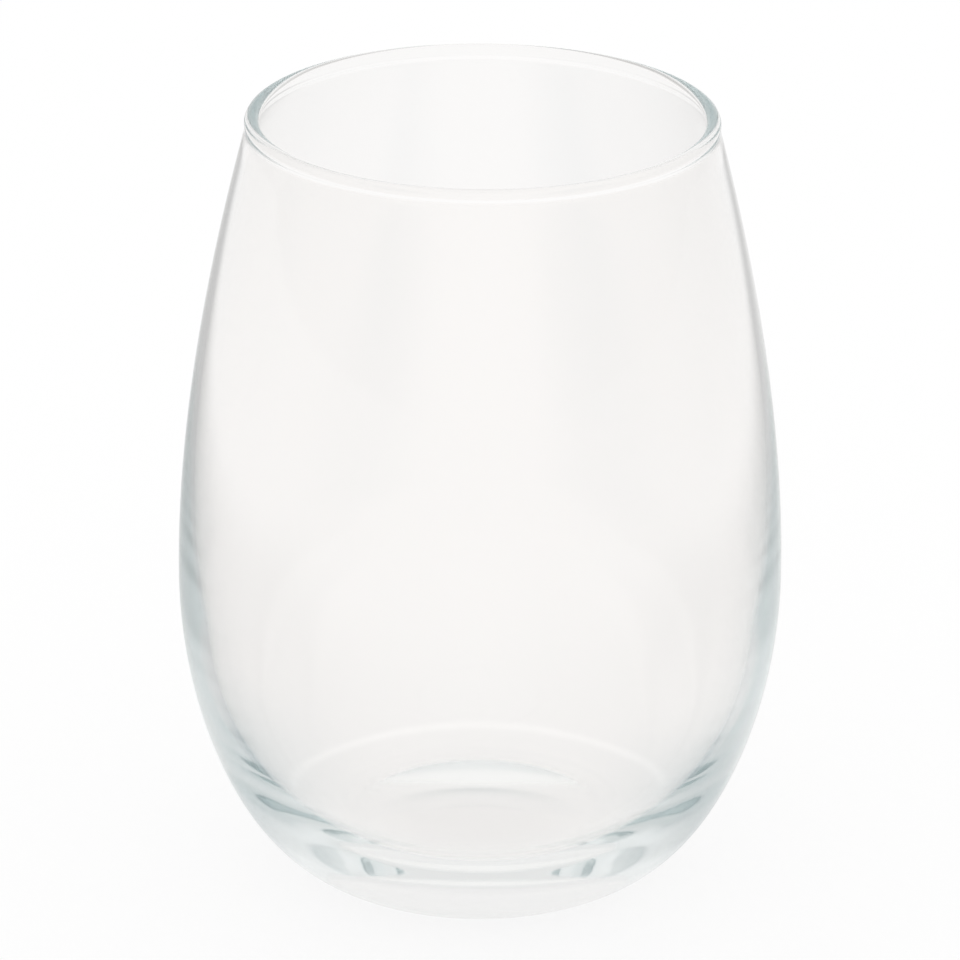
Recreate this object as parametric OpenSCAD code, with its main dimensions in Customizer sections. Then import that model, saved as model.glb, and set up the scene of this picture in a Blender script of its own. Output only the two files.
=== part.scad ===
// Stemless wine glass, one piece of clear glass turned about the Z axis.
// It stands on Z = 0 on a narrow ring, and the origin is the middle of that ring.
// The outline is drawn as radius and height, and then revolved once.

/* [Overall] */
// Height from the table to the top of the rim
glass_h = 118; // [110:1:132]
// Outside diameter at the widest point
belly_d = 90; // [84:1:94]
// Height of the widest point above the table
belly_h = 46.5; // [42:0.5:54]

/* [Rim] */
// Outside diameter of the rounded rim
rim_d = 69; // [66:1:76]
// Angle by which the wall leans inwards at the rim, in degrees
rim_lean = 15; // [12:1:20]
// Diameter of the rounded bead that runs round the rim
bead_d = 2.2; // [2:0.1:3]
// Radius of the blend from the bead into the wall
bead_blend_r = 3; // [1:0.5:5]

/* [Foot] */
// Outside diameter of the flat ring that the glass stands on
foot_d = 42; // [36:1:48]
// Width of that flat ring
foot_land = 2; // [1:0.2:3]
// Height of the shallow hollow under the base, at its middle
push_up_h = 0.3; // [0.2:0.1:1.2]

/* [Wall] */
// Thickness of the wall just below the rim
rim_wall = 1.4; // [1.2:0.1:1.8]
// Thickness of the wall at the widest part of the bowl
belly_wall = 2; // [1.8:0.1:3]
// Height of the bowl's floor above the table, at its middle
base_h = 2.5; // [2.5:0.5:5]
// How far the widest level of the inside lies above the widest level of the outside
hollow_rise = 7.5; // [4:0.5:9]

/* [Hidden] */
$fn = 180;

// Straight steps along one curve, round the bead, and round one blend
curve_steps = 44;
bead_steps = 20;
blend_steps = 4;

// How far each curve keeps its starting direction, as shares of the run that it crosses
heel_share = 0.56;
belly_share = 0.498;
shoulder_share = 0.335;
neck_share = 0.305;
floor_share = 0.38;
corner_share = 0.97;
push_up_crown_share = 0.5;
push_up_edge_share = 0.45;

belly_r = belly_d / 2;
foot_r = foot_d / 2;
hollow_r = belly_r - belly_wall;
hollow_h = belly_h + hollow_rise;
land_inner_r = foot_r - foot_land;

// Directions up the wall and out of it, where it meets the rim
lean_up = [-sin(rim_lean), cos(rim_lean)];
lean_out = [cos(rim_lean), sin(rim_lean)];

// The bead's centre, and the neck below it where both blends start
bead_r = bead_d / 2;
bead_centre = [rim_d / 2 - bead_r, glass_h - bead_r];
blend_offset = rim_wall / 2 + bead_blend_r;
neck_drop = sqrt(pow(bead_r + bead_blend_r, 2) - pow(blend_offset, 2));
neck_turn = atan(neck_drop / blend_offset);
neck_middle = bead_centre - neck_drop * lean_up;
outer_neck = neck_middle + rim_wall / 2 * lean_out;
inner_neck = neck_middle - rim_wall / 2 * lean_out;

// Heights that the upper curves climb, and the depth of the bowl below its widest level
outer_climb = outer_neck[1] - belly_h;
inner_climb = inner_neck[1] - hollow_h;
hollow_depth = hollow_h - base_h;

// One point of a cubic curve through p[0] and p[3], with handles p[1] and p[2]
function curve_point(p, t) =
    pow(1 - t, 3) * p[0] + 3 * pow(1 - t, 2) * t * p[1] + 3 * (1 - t) * pow(t, 2) * p[2] + pow(t, 3) * p[3];

// Points along the curve, without its first one, which the piece before it ends on
function curve(p) = [for (i = [1 : curve_steps]) curve_point(p, i / curve_steps)];

// Points along an arc, without its first one
function arc(centre, radius, from, to, steps) =
    [for (i = [1 : steps]) let (a = from + (to - from) * i / steps) centre + radius * [cos(a), sin(a)]];

// Underside, from the axis to the inner edge of the flat ring
underside = curve([
    [0, push_up_h],
    [land_inner_r * push_up_crown_share, push_up_h],
    [land_inner_r * (1 - push_up_edge_share), 0],
    [land_inner_r, 0]
]);

// Outside, from the flat ring round the heel to the widest point
outer_lower = curve([
    [foot_r, 0],
    [foot_r + heel_share * (belly_r - foot_r), 0],
    [belly_r, belly_h * (1 - belly_share)],
    [belly_r, belly_h]
]);

// Outside, from the widest point up to the neck below the bead
outer_upper = curve([
    [belly_r, belly_h],
    [belly_r, belly_h + shoulder_share * outer_climb],
    outer_neck - neck_share * outer_climb * lean_up,
    outer_neck
]);

// Rim: a blend out of the wall, over the bead, and a blend back into the wall
rim = concat(
    arc(neck_middle + blend_offset * lean_out, bead_blend_r,
        rim_lean + 180, rim_lean + 180 - neck_turn, blend_steps),
    arc(bead_centre, bead_r, rim_lean - neck_turn, rim_lean + 180 + neck_turn, bead_steps),
    arc(neck_middle - blend_offset * lean_out, bead_blend_r,
        rim_lean + neck_turn, rim_lean, blend_steps)
);

// Inside, from the neck down to the widest level of the bowl
inner_upper = curve([
    inner_neck,
    inner_neck - neck_share * inner_climb * lean_up,
    [hollow_r, hollow_h + shoulder_share * inner_climb],
    [hollow_r, hollow_h]
]);

// Inside, from the widest level round the corner to the middle of the floor
inner_lower = curve([
    [hollow_r, hollow_h],
    [hollow_r, hollow_h - corner_share * hollow_depth],
    [hollow_r * floor_share, base_h],
    [0, base_h]
]);

outline = concat(
    [[0, push_up_h]],
    underside,
    [[foot_r, 0]],
    outer_lower,
    outer_upper,
    rim,
    inner_upper,
    inner_lower
);

module glass() {
    color("lightcyan", 0.35)
        rotate_extrude()
            polygon(outline);
}

glass();
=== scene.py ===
import math

import bpy
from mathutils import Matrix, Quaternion, Vector


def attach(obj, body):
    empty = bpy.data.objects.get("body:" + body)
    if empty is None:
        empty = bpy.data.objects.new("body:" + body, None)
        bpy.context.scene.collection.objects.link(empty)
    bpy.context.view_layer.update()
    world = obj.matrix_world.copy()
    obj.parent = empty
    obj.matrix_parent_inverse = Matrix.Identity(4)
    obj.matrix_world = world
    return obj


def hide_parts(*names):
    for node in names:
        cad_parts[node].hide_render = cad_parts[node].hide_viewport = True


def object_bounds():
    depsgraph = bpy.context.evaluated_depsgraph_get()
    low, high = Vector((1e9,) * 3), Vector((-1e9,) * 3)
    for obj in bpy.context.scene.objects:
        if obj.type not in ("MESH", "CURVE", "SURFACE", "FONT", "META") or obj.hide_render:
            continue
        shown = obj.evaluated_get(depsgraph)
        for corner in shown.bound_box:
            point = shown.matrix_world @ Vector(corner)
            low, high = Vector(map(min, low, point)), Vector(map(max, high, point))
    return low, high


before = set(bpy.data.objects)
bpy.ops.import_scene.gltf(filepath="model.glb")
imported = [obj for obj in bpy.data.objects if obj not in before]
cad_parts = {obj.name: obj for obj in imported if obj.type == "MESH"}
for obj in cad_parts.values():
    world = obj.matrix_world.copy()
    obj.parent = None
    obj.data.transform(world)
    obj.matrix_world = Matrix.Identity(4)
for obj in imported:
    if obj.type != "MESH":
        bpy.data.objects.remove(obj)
cad_low, cad_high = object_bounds()

MM = 0.001

# Sizes of the glass, the same as the construction's
GLASS_H = cad_high.z - cad_low.z
BELLY_R = (cad_high.x - cad_low.x) / 2
BELLY_H = 46.5 * MM
RIM_R = 34.5 * MM
RIM_LEAN = math.radians(15)
BEAD_R = 1.1 * MM
BEAD_BLEND_R = 3 * MM
FOOT_R = 21 * MM
FOOT_LAND = 2 * MM
PUSH_UP_H = 0.3 * MM
RIM_WALL = 1.4 * MM
BELLY_WALL = 2 * MM
BASE_H = 2.5 * MM
HOLLOW_RISE = 7.5 * MM

# How far each curve keeps its starting direction, as shares of the run that it crosses
HEEL_SHARE = 0.56
BELLY_SHARE = 0.498
SHOULDER_SHARE = 0.335
NECK_SHARE = 0.305
FLOOR_SHARE = 0.38
CORNER_SHARE = 0.97
CROWN_SHARE = 0.5
EDGE_SHARE = 0.45

# Pieces that each stretch of the outline is cut into, steps along one piece, and steps round the axis
UNDERSIDE_PIECES = 2
HEEL_PIECES = 13
SHOULDER_PIECES = 6
BEAD_PIECES = 6
INNER_SHOULDER_PIECES = 4
FLOOR_PIECES = 9
PIECE_STEPS = 4
TURN_STEPS = 560
WELD = 0.002 * MM


def deselect_all():
    for obj in bpy.context.selected_objects:
        obj.select_set(False)


def curve_anchors(start, leave, arrive, end, pieces):
    """Anchors along one cubic curve, each with the handles before and after it, in radius and height."""
    span = 1 / pieces
    anchors = []
    for i in range(pieces + 1):
        t = i * span
        u = 1 - t
        point = u ** 3 * start + 3 * u * u * t * leave + 3 * u * t * t * arrive + t ** 3 * end
        slope = 3 * (u * u * (leave - start) + 2 * u * t * (arrive - leave) + t * t * (end - arrive))
        anchors.append([point - slope * span / 3, point, point + slope * span / 3])
    return anchors


def arc_anchors(centre, radius, start, end, pieces):
    """Anchors along an arc, each with the handles before and after it."""
    turn = (end - start) / pieces
    reach = 4 / 3 * math.tan(turn / 4) * radius
    anchors = []
    for i in range(pieces + 1):
        a = start + turn * i
        point = centre + radius * Vector((math.cos(a), math.sin(a)))
        along = Vector((-math.sin(a), math.cos(a))) * reach
        anchors.append([point - along, point, point + along])
    return anchors


def joined(stretches):
    """One run of anchors; where two stretches meet, the anchor takes a handle from each."""
    run = list(stretches[0])
    for stretch in stretches[1:]:
        run[-1][2] = stretch[0][2]
        run += stretch[1:]
    return run


def outline_anchors():
    """The half section, from the middle of the underside up the outside, over the rim and down the inside."""
    lean_up = Vector((-math.sin(RIM_LEAN), math.cos(RIM_LEAN)))
    lean_out = Vector((math.cos(RIM_LEAN), math.sin(RIM_LEAN)))
    bead_centre = Vector((RIM_R - BEAD_R, GLASS_H - BEAD_R))
    blend_offset = RIM_WALL / 2 + BEAD_BLEND_R
    neck_drop = math.sqrt((BEAD_R + BEAD_BLEND_R) ** 2 - blend_offset ** 2)
    neck_turn = math.atan(neck_drop / blend_offset)
    neck_middle = bead_centre - neck_drop * lean_up
    outer_neck = neck_middle + RIM_WALL / 2 * lean_out
    inner_neck = neck_middle - RIM_WALL / 2 * lean_out
    land_r = FOOT_R - FOOT_LAND
    hollow_r = BELLY_R - BELLY_WALL
    hollow_h = BELLY_H + HOLLOW_RISE
    outer_climb = outer_neck.y - BELLY_H
    inner_climb = inner_neck.y - hollow_h
    hollow_depth = hollow_h - BASE_H
    foot = Vector((FOOT_R, 0))
    land = Vector((land_r, 0))
    belly = Vector((BELLY_R, BELLY_H))
    hollow = Vector((hollow_r, hollow_h))
    return joined([
        curve_anchors(Vector((0, PUSH_UP_H)), Vector((land_r * CROWN_SHARE, PUSH_UP_H)),
                      Vector((land_r * (1 - EDGE_SHARE), 0)), land, UNDERSIDE_PIECES),
        curve_anchors(land, land.lerp(foot, 1 / 3), land.lerp(foot, 2 / 3), foot, 1),
        curve_anchors(foot, Vector((FOOT_R + HEEL_SHARE * (BELLY_R - FOOT_R), 0)),
                      Vector((BELLY_R, BELLY_H * (1 - BELLY_SHARE))), belly, HEEL_PIECES),
        curve_anchors(belly, belly + Vector((0, SHOULDER_SHARE * outer_climb)),
                      outer_neck - NECK_SHARE * outer_climb * lean_up, outer_neck, SHOULDER_PIECES),
        arc_anchors(neck_middle + blend_offset * lean_out, BEAD_BLEND_R,
                    RIM_LEAN + math.pi, RIM_LEAN + math.pi - neck_turn, 1),
        arc_anchors(bead_centre, BEAD_R, RIM_LEAN - neck_turn, RIM_LEAN + math.pi + neck_turn, BEAD_PIECES),
        arc_anchors(neck_middle - blend_offset * lean_out, BEAD_BLEND_R, RIM_LEAN + neck_turn, RIM_LEAN, 1),
        curve_anchors(inner_neck, inner_neck - NECK_SHARE * inner_climb * lean_up,
                      hollow + Vector((0, SHOULDER_SHARE * inner_climb)), hollow, INNER_SHOULDER_PIECES),
        curve_anchors(hollow, hollow - Vector((0, CORNER_SHARE * hollow_depth)),
                      Vector((hollow_r * FLOOR_SHARE, BASE_H)), Vector((0, BASE_H)), FLOOR_PIECES),
    ])


def make_glass():
    """Draws the half section as a curve, turns it into an edge chain and spins that about the axis."""
    deselect_all()
    bpy.ops.curve.primitive_bezier_curve_add(location=(0, 0, 0))
    drawn = bpy.context.object
    drawn.data.dimensions = "3D"
    drawn.data.resolution_u = PIECE_STEPS
    spline = drawn.data.splines[0]
    anchors = outline_anchors()
    spline.bezier_points.add(len(anchors) - len(spline.bezier_points))
    for knot, (before, point, after) in zip(spline.bezier_points, anchors):
        knot.handle_left_type = knot.handle_right_type = "FREE"
        knot.handle_left = (before.x, 0, before.y)
        knot.co = (point.x, 0, point.y)
        knot.handle_right = (after.x, 0, after.y)
    bpy.ops.object.convert(target="MESH")
    glass = bpy.context.object
    glass.name = glass.data.name = "clear_glass"
    bpy.ops.object.mode_set(mode="EDIT")
    bpy.ops.mesh.select_all(action="SELECT")
    bpy.ops.mesh.spin(steps=TURN_STEPS, angle=2 * math.pi, center=(0, 0, 0), axis=(0, 0, 1))
    bpy.ops.mesh.select_all(action="SELECT")
    bpy.ops.mesh.remove_doubles(threshold=WELD)
    bpy.ops.mesh.normals_make_consistent(inside=False)
    bpy.ops.object.mode_set(mode="OBJECT")
    bpy.ops.object.shade_smooth()
    return glass


# Sockets of the node that mixes two colours, and the slack with which two whole numbers are compared
MIX_SHARE = 0
MIX_COLOUR = 6
MIX_OTHER = 7
MIX_RESULT = 2
HALF_STEP = 0.5


class Value:
    """One output of a node; sums, differences and products of values add their Math nodes."""

    def __init__(self, board, socket):
        self.board = board
        self.socket = socket

    def __add__(self, other):
        return self.board.maths("ADD", self, other)

    def __sub__(self, other):
        return self.board.maths("SUBTRACT", self, other)

    def __rsub__(self, other):
        return self.board.maths("SUBTRACT", other, self)

    def __mul__(self, other):
        return self.board.maths("MULTIPLY", self, other)

    __radd__ = __add__
    __rmul__ = __mul__


class Board:
    """The nodes of a material or of the world, started afresh."""

    def __init__(self, owner):
        owner.use_nodes = True
        self.tree = owner.node_tree
        self.tree.nodes.clear()

    def node(self, kind, settings, values, output=0):
        """Adds a node with its settings, and fills its inputs with numbers, colours or other values."""
        made = self.tree.nodes.new("ShaderNode" + kind)
        for key, value in settings.items():
            setattr(made, key, value)
        for key, value in values.items():
            if isinstance(value, Value):
                self.tree.links.new(value.socket, made.inputs[key])
            else:
                made.inputs[key].default_value = value
        return Value(self, made.outputs[output])

    def maths(self, operation, *values):
        """One Math node on its inputs, in their order."""
        return self.node("Math", {"operation": operation}, dict(enumerate(values)))

    def mixed(self, share, colour, other):
        """A colour, or as far as the share says the other one."""
        inputs = {MIX_SHARE: share, MIX_COLOUR: colour, MIX_OTHER: other}
        return self.node("Mix", {"data_type": "RGBA"}, inputs, MIX_RESULT)

    def ray_is(self, kind):
        return self.node("LightPath", {}, {}, "Is " + kind + " Ray")

    def in_glass(self):
        """1 for what is seen in or through the glass, and 0 for the rest."""
        return self.maths("MAXIMUM", self.ray_is("Glossy"), self.ray_is("Transmission"))

    def crossed(self, times):
        """1 for light that met surfaces just so many times on its way from the camera, and 0 for the rest."""
        return self.maths("COMPARE", self.node("LightPath", {}, {}, "Ray Depth"), times, HALF_STEP)

    def spot(self):
        """Where a point of the surface lies in its object's frame, in metres."""
        return self.node("TexCoord", {}, {}, "Object")

    def place(self, axis):
        return self.node("SeparateXYZ", {}, {0: self.spot()}, axis)

    def distance(self):
        """How far a spot lies from the origin."""
        return self.node("VectorMath", {"operation": "LENGTH"}, {0: self.spot()}, "Value")

    def ramp(self, value, low, high):
        """Climbs smoothly from 0 where the value is low to 1 where it is high."""
        return self.node("MapRange", {"interpolation_type": "SMOOTHSTEP"},
                         {"Value": value, "From Min": low, "From Max": high})

    def finish(self, kind, shaders):
        """Ends the nodes of a material or of the world."""
        out = self.tree.nodes.new("ShaderNodeOutput" + kind)
        for key, shader in shaders.items():
            self.tree.links.new(shader.socket, out.inputs[key])


# Clear soda-lime glass; what it absorbs is per metre of glass, for red, green and blue
GLASS_IOR = 1.52
GLASS_ABSORBS = (2.1, 1.5, 1.45)
TINT_DENSITY = 2.4
GLASS_TONE = (1.0, 0.99, 0.982, 1)

# Drawn walls are very slightly wavy, and the waves run up them
WAVE_DEPTH = 0.015 * MM
WAVE_SCALES = (70, 70, 14)
WAVE_DETAIL = 1.0

# Fire-polished, most of all at the thick base; the standing ring is rubbed dull in patches
BASE_ROUGHNESS = 0.012
BELLY_ROUGHNESS = 0.045
BELLY_POLISH = (20 * MM, 38 * MM)
WEAR_TOP = (0.02 * MM, 0.15 * MM)
WEAR_INNER = (FOOT_R - FOOT_LAND - 0.5 * MM, FOOT_R - FOOT_LAND + 0.2 * MM)
WEAR_SCALE = 900
WEAR_DETAIL = 4.0
WEAR_PATCHES = (0.4, 0.65)
WEAR_ROUGHNESS = 0.12


def clear_glass_material():
    material = bpy.data.materials.new("clear_glass")
    board = Board(material)
    stretched = board.node("Mapping", {}, {"Vector": board.spot(), "Scale": WAVE_SCALES})
    waves = board.node("TexNoise", {}, {"Vector": stretched, "Scale": 1.0, "Detail": WAVE_DETAIL})
    rubs = board.node("TexNoise", {}, {"Vector": board.spot(), "Scale": WEAR_SCALE, "Detail": WEAR_DETAIL})
    height = board.place("Z")
    polish = BASE_ROUGHNESS + board.ramp(height, *BELLY_POLISH) * (BELLY_ROUGHNESS - BASE_ROUGHNESS)
    on_ring = (1 - board.ramp(height, *WEAR_TOP)) * board.ramp(board.distance(), *WEAR_INNER)
    wear = on_ring * board.ramp(rubs, *WEAR_PATCHES) * WEAR_ROUGHNESS
    surface = board.node("BsdfPrincipled", {}, {
        "Base Color": GLASS_TONE,
        "Roughness": polish + wear,
        "IOR": GLASS_IOR,
        "Transmission Weight": 1.0,
        "Normal": board.node("Bump", {}, {"Height": waves * WAVE_DEPTH, "Strength": 1.0, "Distance": 1.0}),
    })
    tint = [1 - absorbs / TINT_DENSITY for absorbs in GLASS_ABSORBS]
    volume = board.node("VolumeAbsorption", {}, {"Color": (*tint, 1), "Density": TINT_DENSITY})
    board.finish("Material", {"Surface": surface, "Volume": volume})
    return material


glass = make_glass()
glass.data.materials.clear()
glass.data.materials.append(clear_glass_material())
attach(glass, "root")
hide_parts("glass")

# The studio floor is white. Only the glass shows what is painted on it below: painted shade in a grey
# strip at each side, a painted shadow beside the foot, painted shade under it and painted rings of light.
WHITE = (1, 1, 1, 1)
FLOOR_SIZE = 5
FLOOR_DROP = 0.05 * MM
FLOOR_SHADE = 0.12
FLOOR_WHITE = 0.966
FRONT_WHITE = 0.95
FRONT_REACH = 150 * MM
# Painted shade: grey strips for darker studio at each side and, at their inner edges, the glass's shadow
SIDE_SHADE_NEAR = (-150 * MM, -50 * MM)
SIDE_SHADE_FADE = 100 * MM
LEFT_SIDE_SHADE = {"edge": 59.9 * MM, "soft": 88 * MM, "flare": 0.107, "width": 188 * MM, "grey": 0.406}
RIGHT_SIDE_SHADE = {"edge": 88.4 * MM, "soft": 140 * MM, "flare": 0.095, "width": 177 * MM, "grey": 0.385}

# Painted shadow: a narrower teal patch on each strip, close to the foot, for the glass's own shadow there
FOOT_SHADOW_SOFT = 12 * MM
FOOT_SHADOW_END_SOFT = 20 * MM
LEFT_FOOT_SHADOW = {"edge": 36 * MM, "width": 44 * MM, "middle": -22 * MM, "half": 30 * MM}
RIGHT_FOOT_SHADOW = {"edge": 34 * MM, "width": 35 * MM, "middle": -22 * MM, "half": 28 * MM}
FOOT_SHADOW_COVER = 0.55
FOOT_SHADOW_COLOUR = (0.08, 0.2, 0.24, 1)

# Light that comes straight through both walls crosses four surfaces; it shows the painted side shade
# and the painted shadows by the foot only faintly
BOTH_WALLS = 4
STRAIGHT_FADE = 0.8

# Under the glass the floor is a little shaded, and light gathers in a ring below the rim and before the foot
FOOT_SHADE = 0.07
FOOT_SHADE_EDGE = (4 * MM, 28 * MM)
RIM_RING = {"radius": 34 * MM, "half": 1.8 * MM, "light": 0.06}
FOOT_RING = {"radius": 20 * MM, "half": 5 * MM, "light": 0.03}

# The studio round the glass: white, and darker low down at the left and at the right
SKY_WHITE = 0.996
SKY_LEFT_GREY = 0.19
SKY_RIGHT_GREY = 0.11
SKY_SIDE_REACH = (math.radians(31.4), math.radians(94.2))
SKY_LOW_REACH = (math.radians(48.1), math.radians(78.1))


def side_shade_cover(board, across, back, shade_strip):
    """Painted side shade on the floor, at a distance across from the middle and a distance back."""
    edge = board.maths("MAXIMUM", back, 0.0) * shade_strip["flare"] + shade_strip["edge"]
    inner = board.ramp(across, edge - shade_strip["soft"] / 2, edge + shade_strip["soft"] / 2)
    outer = 1 - board.ramp(across, shade_strip["width"], shade_strip["width"] + SIDE_SHADE_FADE)
    near = board.ramp(back, *SIDE_SHADE_NEAR)
    return inner * outer * near * shade_strip["grey"]


def foot_shadow_cover(board, across, back, shadow_patch):
    """How much painted shadow beside the foot lies on the floor at such a spot."""
    inner = board.ramp(across, shadow_patch["edge"] - FOOT_SHADOW_SOFT, shadow_patch["edge"] + FOOT_SHADOW_SOFT)
    far = shadow_patch["edge"] + shadow_patch["width"]
    outer = 1 - board.ramp(across, far - FOOT_SHADOW_SOFT, far + FOOT_SHADOW_SOFT)
    off_middle = board.maths("ABSOLUTE", back - shadow_patch["middle"])
    ends = 1 - board.ramp(off_middle, shadow_patch["half"] - FOOT_SHADOW_END_SOFT, shadow_patch["half"] + FOOT_SHADOW_END_SOFT)
    return inner * outer * ends * FOOT_SHADOW_COVER


def ring_light(board, reach, ring):
    """Light of a ring round the origin, brightest at its radius."""
    off_ring = board.maths("ABSOLUTE", reach - ring["radius"])
    return (1 - board.ramp(off_ring, 0.0, ring["half"])) * ring["light"]


def floor_material():
    material = bpy.data.materials.new("studio_floor")
    board = Board(material)
    across = board.place("X")
    back = board.place("Y")
    left = across * -1
    forward = back * -1
    tone = FLOOR_WHITE + (FRONT_WHITE - FLOOR_WHITE) * board.ramp(forward, 0.0, FRONT_REACH)
    shown = 1 - board.crossed(BOTH_WALLS) * STRAIGHT_FADE
    # Painted shade at the sides and painted shadow beside the foot, shown only in the glass
    side_shade = (side_shade_cover(board, left, back, LEFT_SIDE_SHADE) + side_shade_cover(board, across, back, RIGHT_SIDE_SHADE)) * shown
    # Painted shadow: a teal patch beside the foot at each side, shown only in the glass
    foot_shadows = (foot_shadow_cover(board, left, back, LEFT_FOOT_SHADOW) + foot_shadow_cover(board, across, back, RIGHT_FOOT_SHADOW)) * shown
    reach = board.distance()
    foot_shade = (1 - board.ramp(reach, *FOOT_SHADE_EDGE)) * FOOT_SHADE
    rim_light = ring_light(board, reach, RIM_RING)
    foot_light = ring_light(board, reach, FOOT_RING) * board.ramp(forward, 0.0, FOOT_R)
    plain = tone * (1 - side_shade) * (1 - foot_shade) + rim_light + foot_light
    through = board.in_glass()
    seen_tone = board.mixed(through, WHITE, board.mixed(foot_shadows, plain, FOOT_SHADOW_COLOUR))
    shaded = board.node("BsdfDiffuse", {}, {"Color": seen_tone})
    lit = board.node("Emission", {}, {"Color": seen_tone, "Strength": 1.0})
    seen = board.maths("MAXIMUM", board.ray_is("Camera"), through)
    shadow_share = 1 - seen * (1 - FLOOR_SHADE)
    board.finish("Material", {"Surface": board.node("MixShader", {}, {0: shadow_share, 1: lit, 2: shaded})})
    return material


def make_floor():
    deselect_all()
    bpy.ops.mesh.primitive_plane_add(size=FLOOR_SIZE, location=(0, 0, 0))
    floor = bpy.context.object
    floor.name = floor.data.name = "studio_floor"
    bpy.ops.object.mode_set(mode="EDIT")
    bpy.ops.mesh.select_all(action="SELECT")
    bpy.ops.transform.translate(value=(0, 0, -FLOOR_DROP))
    bpy.ops.object.mode_set(mode="OBJECT")
    floor.data.materials.append(floor_material())


def make_world():
    """Plain white light; the glass shows it greyer at the sides."""
    world = bpy.data.worlds.new("studio")
    bpy.context.scene.world = world
    board = Board(world)
    direction = board.node("TexCoord", {}, {}, "Generated")
    x, y, z = (board.node("SeparateXYZ", {}, {0: direction}, axis) for axis in "XYZ")
    off_straight = board.maths("ABSOLUTE", board.maths("ARCTAN2", x, y))
    off_side = board.maths("ABSOLUTE", off_straight - math.pi / 2)
    at_side = 1 - board.ramp(off_side, *SKY_SIDE_REACH)
    low = 1 - board.ramp(board.maths("ARCSINE", z), *SKY_LOW_REACH)
    right = board.maths("GREATER_THAN", x, 0.0)
    grey = SKY_LEFT_GREY + (SKY_RIGHT_GREY - SKY_LEFT_GREY) * right
    sky = SKY_WHITE - grey * at_side * low
    strength = 1 + board.in_glass() * (sky - 1)
    board.finish("World", {"Surface": board.node("Background", {}, {"Color": WHITE, "Strength": strength})})


# Camera, fitted to the outline of the glass in the photograph
CAMERA_DISTANCE = 0.784
CAMERA_PITCH = math.radians(22.24)
CAMERA_ROLL = math.radians(0.34)
AIM = Vector((-0.085 * MM, 0, 60.8 * MM))
FOCAL_PIXELS = 5276
IMAGE_PIXELS = 960
SENSOR = 36.0
CLIP_START = 10 * MM


def make_camera():
    data = bpy.data.cameras.new("camera")
    data.sensor_width = SENSOR
    data.lens = FOCAL_PIXELS / IMAGE_PIXELS * SENSOR
    data.clip_start = CLIP_START
    camera = bpy.data.objects.new("camera", data)
    bpy.context.scene.collection.objects.link(camera)
    look = Vector((0, math.cos(CAMERA_PITCH), -math.sin(CAMERA_PITCH)))
    camera.location = AIM - CAMERA_DISTANCE * look
    camera.rotation_mode = "QUATERNION"
    camera.rotation_quaternion = look.to_track_quat("-Z", "Y") @ Quaternion((0, 0, 1), CAMERA_ROLL)
    bpy.context.scene.camera = camera


# Light turns back many times inside the wall and the base before it leaves
GLASS_BOUNCES = 1024

make_floor()
make_world()
make_camera()
scene = bpy.context.scene
scene.view_settings.view_transform = "Standard"
scene.cycles.max_bounces = GLASS_BOUNCES
scene.cycles.transmission_bounces = GLASS_BOUNCES
scene.cycles.glossy_bounces = GLASS_BOUNCES
